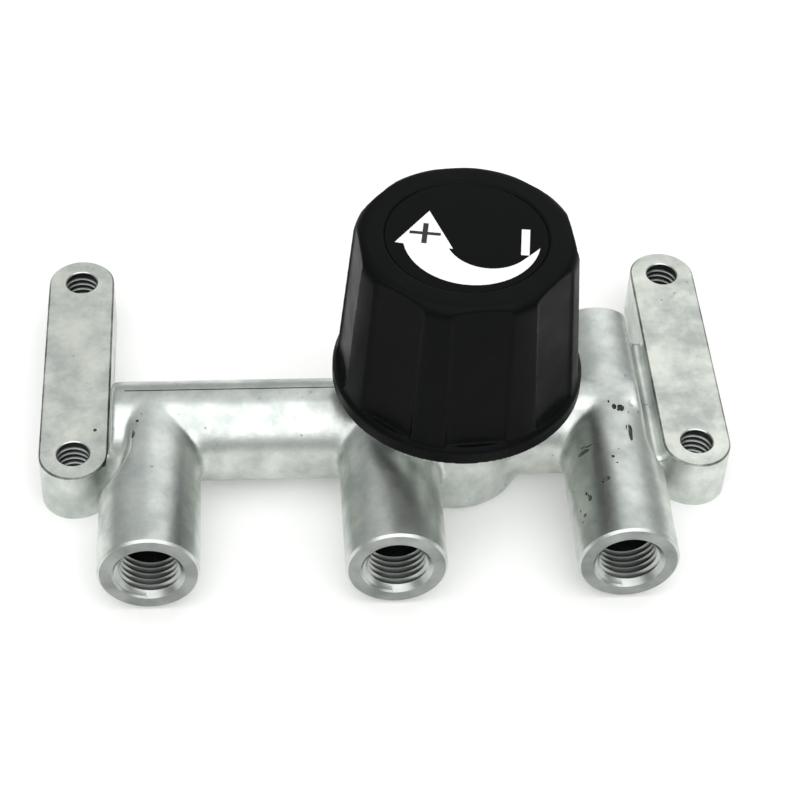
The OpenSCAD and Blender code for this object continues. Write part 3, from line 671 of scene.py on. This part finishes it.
def passages():
    """Drills along the gallery, and then the links from it to the ports."""
    runs = [(FRONT_PORTS[0], OUTLET_X - FRONT_PORTS[0]), (VALVE_X, REAR_PORT - VALVE_X)]
    drills = []
    for x, length in runs:
        drill = turned("drill", [(PASSAGE_R, 0), (PASSAGE_R, length)])
        drills.append(lay(drill, (x, GALLERY_Y, AXIS_Z), ALONG_X))
    through = turned("link", [(PASSAGE_R, -FRONT_LINK), (PASSAGE_R, REAR_LINK)])
    links = [lay(through, (REAR_PORT, GALLERY_Y, AXIS_Z), ALONG_Y)]
    for x in FRONT_PORTS:
        if x != REAR_PORT:
            link = turned("link", [(PASSAGE_R, 0), (PASSAGE_R, FRONT_LINK)])
            links.append(lay(link, (x, GALLERY_Y, AXIS_Z), AGAINST_Y))
    return drills, links


def casting_cuts():
    """Groups of cutters in the order of their use, each with the name of the finish that it leaves."""
    top_r = BAR_W / 2 + EDGE_BREAK
    tops = copies(slotted("top", [(top_r, BAR_H), (top_r, BAR_H + 2 * STOCK)], BAR_END), BARS)
    faces = [block("face", (-UNDERSIDE_X, -UNDERSIDE_Y, -2 * STOCK), (UNDERSIDE_X, UNDERSIDE_Y, 0))]
    faces.append(lay(turned("rim", [(RIM_CLEAR_R, RIM_Z), (RIM_CLEAR_R, RIM_Z + 2 * STOCK)]), ON_AXIS))
    faces += copies(turned("port", [(PORT_CLEAR_R, -2 * STOCK), (PORT_CLEAR_R, 0)]), PORTS)
    hole_edge = turned("hole_edge", [(HOLE_R - OVERLAP, BAR_H - HOLE_EDGE - OVERLAP),
                                     (HOLE_R + 2 * HOLE_EDGE, BAR_H + HOLE_EDGE)])
    edges = port_edges() + copies(hole_edge, BAR_HOLES)
    mouth = turned("inner", [(MOUTH_R + STOCK, -STOCK),
                             (PORT_TAP_R - OVERLAP, MOUTH_R - PORT_TAP_R + OVERLAP)])
    mouths = copies(mouth, PORTS)
    tap = turned("tap", [(PORT_TAP_R, TAP_START), (PORT_TAP_R, TAP_END), (PASSAGE_R, TAP_TIP),
                         (PASSAGE_R, TAP_REACH)])
    hole = turned("hole", [(HOLE_R, -HOLE_EDGE), (HOLE_R, BAR_H + HOLE_EDGE)], sides=64)
    bowl = turned("bowl", [(CHAMBER_R, CHAMBER_Z), (CHAMBER_R, LEDGE_Z), (INSERT_R, LEDGE_Z),
                           (INSERT_R, BOWL_FLOOR_Z), (BOWL_BORE_R, BOWL_FLOOR_Z), (BOWL_BORE_R, CLAMP_Z),
                           (COLLAR_BORE_R, CLAMP_Z), (COLLAR_BORE_R, BOWL_TOP_Z)])
    bores = copies(tap, PORTS) + copies(hole, BAR_HOLES) + [lay(bowl, ON_AXIS)]
    drills, links = passages()
    outlet = turned("outlet", [(OUTLET_R, AXIS_Z), (OUTLET_R, OUTLET_TOP_Z)], sides=32)
    lay(outlet, (OUTLET_X, GALLERY_Y, 0))
    port_thread = thread_cutter("port_thread", PORT_TAP_R, PORT_THREAD_R, PORT_THREAD_START,
                                PORT_THREAD_END, steps=48)
    hole_thread = thread_cutter("hole_thread", HOLE_R, HOLE_THREAD_R, 0, HOLE_THREAD_END, steps=40)
    return [
        (tops, "ground"),
        (bar_edges(), "edge"),
        (faces, "faced"),
        (bores, "drilled"),
        (edges, "bright"),
        (mouths, "tapped"),
        (drills, "drilled"),
        (links, "drilled"),
        ([outlet], "drilled"),
        (copies(port_thread, PORTS), "tapped"),
        (copies(hole_thread, BAR_HOLES), "faced"),
        ([merged(mould_marks())], "scarred"),
    ]


def make_casting():
    """Manifold casting: as-cast skin first, then its faces, bores and threads are cut into it."""
    piece = as_cast_stock()
    apply_modifier(piece, "REMESH", mode="VOXEL", voxel_size=CAST_VOXEL * MM)
    apply_modifier(piece, "SMOOTH", factor=0.5, iterations=28)
    apply_modifier(piece, "DECIMATE", ratio=0.6)
    # Pale mottled skin, duller ground tops, nearly black mould marks, and edge breaks streaked dark as
    # painted edge shade
    # Faces grey, darkened as a painted dim reflection; chamfers pale as a painted highlight; bores dark as
    # painted shade inside them; silvery port mouths with their threads
    looks = {
        "skin": cast_aluminium("cast_aluminium_tumbled", "#B8BEBA", "#DADED8", 0.37),
        "ground": cast_aluminium("cast_aluminium_ground_flat", "#B8BDB8", "#E2E5DC", 0.48),
        "scarred": cast_aluminium("cast_aluminium_mould_marks", "#4C504C", "#6C706B", 0.6),
        # Edge breaks round the bar tops: streaky dark, a painted edge shade
        "edge": cast_aluminium("cast_aluminium_edge_painted_shade", "#484B46", "#B4B8B1", 0.5),
        # Faces and the bars' threads: grey, darkened as a painted dim reflection
        "faced": machined_aluminium("machined_aluminium_faced", "#7E8280", "#A0A3A1", 0.32),
        # Chamfers: pale, a painted highlight
        "bright": machined_aluminium("machined_aluminium_chamfered", "#B8BCB9", "#D8DBD8", 0.32),
        # Bores and passages: dark, painted shade inside them
        "drilled": machined_aluminium("machined_aluminium_drilled_painted_shade", "#505452", "#6E726F", 0.4),
        "tapped": machined_aluminium("machined_aluminium_tapped", "#A4A8A4", "#C6CAC6", 0.3),
    }
    finishes = list(looks.values())
    dress(piece, finishes, looks["skin"])
    for group, look in casting_cuts():
        cutter = joined("cutter", group)
        dress(cutter, finishes, looks[look])
        cut_away(piece, cutter)
    pick(piece, lambda at: True)
    bpy.ops.mesh.remove_doubles(threshold=SEAM * MM)
    activate(piece)
    bpy.ops.object.shade_smooth_by_angle(angle=CAST_SMOOTH)
    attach(piece, "casting")
    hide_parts("manifold_body")


def knob_form():
    """The knob's outer form in one solid: rim, tapered skirt, round shoulder, label seat and finger flats."""
    skirt_h = KNOB_TOP_Z - SKIRT_Z
    draft = math.atan((SKIRT_R - KNOB_TOP_R) / skirt_h)
    round_r = KNOB_TOP_R + KNOB_SHOULDER * math.tan(draft) - KNOB_SHOULDER / math.cos(draft)
    round_z = KNOB_TOP_Z - KNOB_SHOULDER
    shoulder = []
    for i in range(SHOULDER_STEPS + 1):
        angle = draft + (math.pi / 2 - draft) * i / SHOULDER_STEPS
        away = KNOB_SHOULDER * math.cos(angle)
        rise = KNOB_SHOULDER * math.sin(angle)
        shoulder.append((round_r + away, round_z + rise))
    piece = turned("knob_shell", [(RIM_R, KNOB_Z), (RIM_R, SKIRT_Z - RIM_EDGE), (RIM_R - RIM_EDGE, SKIRT_Z),
                                  (SKIRT_R, SKIRT_Z), *shoulder, (LABEL_SEAT_R, KNOB_TOP_Z),
                                  (LABEL_SEAT_R, LABEL_SEAT_Z)], sides=192)
    flat = block("flat", (0, -FLAT_W / 2, 0), (FLAT_RISE, FLAT_W / 2, 2 * skirt_h))
    pick(flat, lambda at: at.x > FLAT_RISE / 2 * MM)
    widening = 1 + 2 * FLAT_RISE / math.tan(FLAT_WALL) / FLAT_W
    bpy.ops.transform.resize(value=(1, widening, 1), center_override=(0, 0, 0))
    lean = math.atan((FLAT_FOOT_R - FLAT_TOP_R) / skirt_h)
    lay(flat, (FLAT_FOOT_R, 0, SKIRT_Z + FLAT_STEP), (0, -lean, 0))
    turns = [FLAT_PHASE + math.tau * i / FLAT_COUNT for i in range(FLAT_COUNT)]
    cut_away(piece, joined("flats", copies(flat, [((0, 0, 0), (0, 0, turn)) for turn in turns])))
    return piece


def make_knob(plastic):
    """Moulded knob: soft-edged outer form, then its hollow with ribs and hub, socket and screw seat."""
    piece = knob_form()
    apply_modifier(piece, "REMESH", mode="VOXEL", voxel_size=KNOB_VOXEL * MM)
    apply_modifier(piece, "SMOOTH", factor=0.5, iterations=1)
    apply_modifier(piece, "DECIMATE", ratio=0.5)
    inner_r = SKIRT_R - KNOB_WALL
    top_r = KNOB_TOP_R - KNOB_WALL
    hollow = turned("hollow", [(inner_r, KNOB_Z - STOCK), (inner_r, SKIRT_Z), (top_r, KNOB_CEILING_Z),
                               (HUB_R, KNOB_CEILING_Z), (HUB_R, HEX_Z)])
    rib = block("rib", (0, -RIB_T / 2, RIB_FOOT_Z),
                (top_r + KNOB_WALL / 2, RIB_T / 2, KNOB_CEILING_Z + STOCK))
    turns = [FLAT_PHASE + math.tau * (i + 0.5) / FLAT_COUNT for i in range(FLAT_COUNT)]
    for one in copies(rib, [((0, 0, 0), (0, 0, turn)) for turn in turns]):
        cut_away(hollow, one)
    socket = turned("socket", [(HEX_R, HEX_Z - STOCK), (HEX_R, HEX_TOP_Z)], sides=6)
    lay(socket, (0, 0, 0), (0, 0, HEX_TURN))
    screw_seat = turned("screw_seat", [(SCREW_HOLE_R, HEX_Z), (SCREW_HOLE_R, SCREW_HEAD_Z),
                                       (SCREW_HEAD_R, SCREW_HEAD_Z), (SCREW_HEAD_R, KNOB_TOP_Z)],
                        sides=48)
    for cutter in (hollow, socket, screw_seat):
        cut_away(piece, cutter)
    piece.data.materials.clear()
    piece.data.materials.append(plastic)
    activate(piece)
    bpy.ops.object.shade_smooth_by_angle(angle=PIECE_SMOOTH)
    lay(piece, ON_AXIS)
    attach(piece, "knob")
    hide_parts("knob")


def give_way(piece, node, finish):
    """Stands for a springy CAD solid: gives it its finish and smooth shading, fixes it to the casting, hides
    the CAD node and gives it a mesh of its own.
    """
    dress(piece, [finish], finish)
    activate(piece)
    bpy.ops.object.shade_smooth_by_angle(angle=PIECE_SMOOTH)
    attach(piece, "casting")
    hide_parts(node)
    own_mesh(piece)


def wound_spring(name, node, mean_r, wire, turns):
    """A spring of round wire on the valve's axis, as long as the CAD solid that it stands for."""
    low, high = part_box(node)
    clear_selection()
    bpy.ops.mesh.primitive_circle_add(vertices=COIL_SIDES, radius=wire / 2 * MM, rotation=(math.pi / 2, 0, 0),
                                      location=(mean_r * MM, 0, low[2] + wire / 2 * MM))
    piece = settle(take(name))
    steps = round(turns * COIL_STEPS)
    apply_modifier(piece, "SCREW", angle=math.tau * turns, screw_offset=high[2] - low[2] - wire * MM,
                   steps=steps, render_steps=steps)
    pick(piece, lambda at: True)
    bpy.ops.mesh.fill_holes(sides=0)
    bpy.ops.mesh.select_all(action="SELECT")
    bpy.ops.mesh.normals_make_consistent(inside=False)
    clear_selection()
    return lay(piece, ON_AXIS)


def rubber_diaphragm():
    """The diaphragm, turned upside down: flat middle, round fold that hangs down, clamped rim, rivet hole."""
    under = -CLAMP_Z
    top = under - RUBBER_T
    inside_r = FOLD_R - RUBBER_T / 4
    outer_fold = arc((FOLD_MID_R, under), FOLD_R, 180, 0, FOLD_STEPS)
    inner_fold = arc((FOLD_MID_R, top), inside_r, 0, 180, FOLD_STEPS)
    piece = turned("diaphragm_rubber", [*outer_fold, (RUBBER_R, under), (RUBBER_R, top), *inner_fold])
    hole = turned("rivet_hole", [(RIVET_R, top - STOCK), (RIVET_R, under + STOCK)], sides=48)
    cut_away(piece, hole)
    return lay(piece, ON_AXIS, UPSIDE_DOWN)


def plate(name, points, low, high, ink):
    """A thin print on the label: its outline drawn point by point from the knob's axis, filled and raised."""
    clear_selection()
    bpy.ops.mesh.primitive_plane_add(size=MM)
    piece = take(name)
    pick(piece, lambda at: True)
    bpy.ops.mesh.merge(type="CENTER")
    bpy.ops.transform.translate(value=Vector((*points[0], low)) * MM)
    for (x0, y0), (x1, y1) in zip(points, points[1:]):
        step = ((x1 - x0) * MM, (y1 - y0) * MM, 0)
        bpy.ops.mesh.extrude_vertices_move(TRANSFORM_OT_translate={"value": step})
    bpy.ops.mesh.select_all(action="SELECT")
    bpy.ops.mesh.edge_face_add()
    bpy.ops.mesh.extrude_region_move(TRANSFORM_OT_translate={"value": (0, 0, (high - low) * MM)})
    bpy.ops.mesh.select_all(action="SELECT")
    bpy.ops.mesh.normals_make_consistent(inside=False)
    clear_selection()
    piece.data.materials.append(ink)
    lay(piece, ON_AXIS)
    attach(piece, "knob")


def arc(middle, r, first, last, steps=24):
    """Points of a round stretch about a middle, between two angles in degrees."""
    angles = [math.radians(first + (last - first) * i / steps) for i in range(steps + 1)]
    return [(middle[0] + r * math.cos(a), middle[1] + r * math.sin(a)) for a in angles]


def stroke(first, last, width):
    """The four corners of a straight stroke between two points."""
    along = (Vector(last) - Vector(first)).normalized()
    side = Vector((-along.y, along.x)) * width / 2
    corners = ((first, 1), (first, -1), (last, -1), (last, 1))
    return [tuple(Vector(end) + turn * side) for end, turn in corners]


def make_print():
    """Print of the label: a curved arrow that ends at a plus, and a minus at its tail.
    Places are in millimetres from the knob's axis, angles in degrees."""
    white = printed_ink("screen_printed_white_ink", "#E9E9E6")
    black = printed_ink("screen_printed_black_ink", "#131414")
    outer = arc((0.93, -0.49), 13.16, -14, -175)
    head = [(-13.8, -1.25), (-6.55, 7.6), (-2.9, -3.4)]
    inner = arc((4.4, -0.67), 8.5, -162, -50)
    minus = stroke((11.53, 1.75), (10.63, -5.55), 1.6)
    across = stroke((-10.8, 1.57), (-4.9, 0.68), 0.8)
    upright = stroke((-7.45, 3.95), (-8.3, -1.7), 1.0)
    ink_z = LABEL_Z + INK_T
    plate("arrow_print", outer + head + inner, LABEL_Z - INK_T, ink_z, white)
    plate("minus_print", minus, LABEL_Z - INK_T, ink_z, white)
    plate("plus_print_across", across, LABEL_Z, ink_z + INK_T, black)
    plate("plus_print_upright", upright, LABEL_Z, ink_z + 1.5 * INK_T, black)


make_casting()

# Deep black plastic with a dull sheen, and label film with a sharper one
# Warm yellow brass, dark grey spring steel, pale zinc plate, dull grey die-cast zinc
# Matt black rubber and creamy white nylon
BLACK_PLASTIC = moulded_plastic("moulded_black_polypropylene", "#050606", 0.42, 0.07)
LABEL_FILM = moulded_plastic("gloss_black_label_film", "#050606", 0.25, 0.05)
BRASS = inner_metal("turned_brass", "#A8843F", "#C9A961", 0.3)
SPRING_STEEL = inner_metal("drawn_spring_steel", "#6B6E72", "#94979B", 0.35)
ZINC_PLATE = inner_metal("zinc_plated_steel", "#A4A8AB", "#C4C7C9", 0.32)
DIE_CAST_ZINC = inner_metal("die_cast_zinc", "#8C9093", "#AEB2B4", 0.42)
RUBBER = moulded_plastic("moulded_nitrile_rubber", "#1C1C1D", 0.6)
NYLON = moulded_plastic("moulded_natural_nylon", "#E4E1D2", 0.45)
make_knob(BLACK_PLASTIC)
make_print()

# Springs and diaphragm, in place of their CAD solids
coil = wound_spring("range_coil", "range_spring", RANGE_SPRING_R, RANGE_SPRING_WIRE, RANGE_SPRING_TURNS)
give_way(coil, "range_spring", SPRING_STEEL)
coil = wound_spring("poppet_coil", "poppet_spring", POPPET_SPRING_R, POPPET_SPRING_WIRE, POPPET_SPRING_TURNS)
give_way(coil, "poppet_spring", SPRING_STEEL)
give_way(rubber_diaphragm(), "diaphragm", RUBBER)

# Finish of each CAD node that stays, by what it is made of
FINISHES = (
    (LABEL_FILM, ("knob_label",)),
    (BRASS, ("seat_insert", "valve_poppet", "diaphragm_rivet", "slip_ring", "spring_nut")),
    (SPRING_STEEL, ("retaining_clip",)),
    (ZINC_PLATE, ("diaphragm_plate", "spring_washer", "adjusting_screw", "knob_screw")),
    (DIE_CAST_ZINC, ("bonnet",)),
    (RUBBER, ("poppet_seal", "relief_seat")),
    (NYLON, ("seat_washer", "thrust_washer")),
)
for finish, names in FINISHES:
    for name in names:
        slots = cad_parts[name].data.materials
        slots.clear()
        slots.append(finish)

# Plain pale floor, white to the camera, which keeps the shadow
FLOOR_SIZE = 6
FLOOR_GLOW = 0.2
clear_selection()
bpy.ops.mesh.primitive_plane_add(size=FLOOR_SIZE, location=(0, 0, 0))
floor = take("floor")
paper, tree, shader, place = new_material("white_paper_floor")
shader.inputs["Base Color"].default_value = linear("#E6E6E4")
shader.inputs["Roughness"].default_value = 0.9
shader.inputs["Specular IOR Level"].default_value = 0.1
seen = add(tree, "ShaderNodeLightPath")
either = add(tree, "ShaderNodeMath", operation="MAXIMUM",
             links={0: seen.outputs["Is Camera Ray"], 1: seen.outputs["Is Glossy Ray"]})
any_ray = add(tree, "ShaderNodeMath", operation="MAXIMUM",
              links={0: either.outputs[0], 1: seen.outputs["Is Transmission Ray"]})
glow = add(tree, "ShaderNodeEmission", {"Strength": FLOOR_GLOW})
nothing = add(tree, "ShaderNodeEmission", {"Strength": 0.0})
lift = add(tree, "ShaderNodeMixShader",
           links={0: any_ray.outputs[0], 1: nothing.outputs[0], 2: glow.outputs[0]})
both = add(tree, "ShaderNodeAddShader", links={0: shader.outputs[0], 1: lift.outputs[0]})
tree.links.new(both.outputs[0], tree.nodes["Material Output"].inputs["Surface"])
floor.data.materials.append(paper)

# Soft studio light: a room that is dim near the floor, a large softbox overhead and a weaker one behind
scene = bpy.context.scene
scene.view_settings.view_transform = "Standard"
world = bpy.data.worlds.new("room")
world.use_nodes = True
tree = world.node_tree
sky = tree.nodes["Background"]
sky.inputs["Color"].default_value = linear("#C8CACB")
towards = add(tree, "ShaderNodeTexCoord").outputs["Generated"]
height = add(tree, "ShaderNodeSeparateXYZ", links={"Vector": towards})
room = add(tree, "ShaderNodeMapRange", {"From Min": 0.0, "From Max": 0.45, "To Min": 0.3, "To Max": 0.9},
           {"Value": height.outputs["Z"]})
tree.links.new(room.outputs["Result"], sky.inputs["Strength"])
scene.world = world


def softbox(name, place, aim, size, watts):
    """A square soft light at a place in metres, turned to its aim."""
    clear_selection()
    bpy.ops.object.light_add(type="AREA", location=place)
    light = bpy.context.active_object
    light.name = name
    light.data.size = size
    light.data.energy = watts
    light.rotation_euler = (Vector(aim) - Vector(place)).to_track_quat("-Z", "Y").to_euler()


LIGHT_AIM = (0, -0.01, 0.02)
softbox("overhead_softbox", (0.0, -0.26, 0.74), LIGHT_AIM, size=1.3, watts=8.3)
softbox("rear_softbox", (0.3, 0.7, 0.64), LIGHT_AIM, size=0.7, watts=0.9)

# Camera as fitted to the photo: focal length in its pixels, place, and directions right, up and forward
SENSOR_W = 36
FOCAL_PIXELS = 2270.86
PHOTO_PIXELS = 800
clear_selection()
bpy.ops.object.camera_add(location=(-0.02968, -0.34082, 0.34738))
camera = bpy.context.active_object
right = Vector((0.99736881, -0.06246781, 0.0367862))
up = Vector((0.01881206, 0.71306891, 0.70084152))
forward = Vector((0.07001113, 0.69830545, -0.71236784))
camera.rotation_euler = Matrix((right, up, -forward)).transposed().to_euler()
camera.data.sensor_width = SENSOR_W
camera.data.lens = SENSOR_W * FOCAL_PIXELS / PHOTO_PIXELS
scene.camera = camera
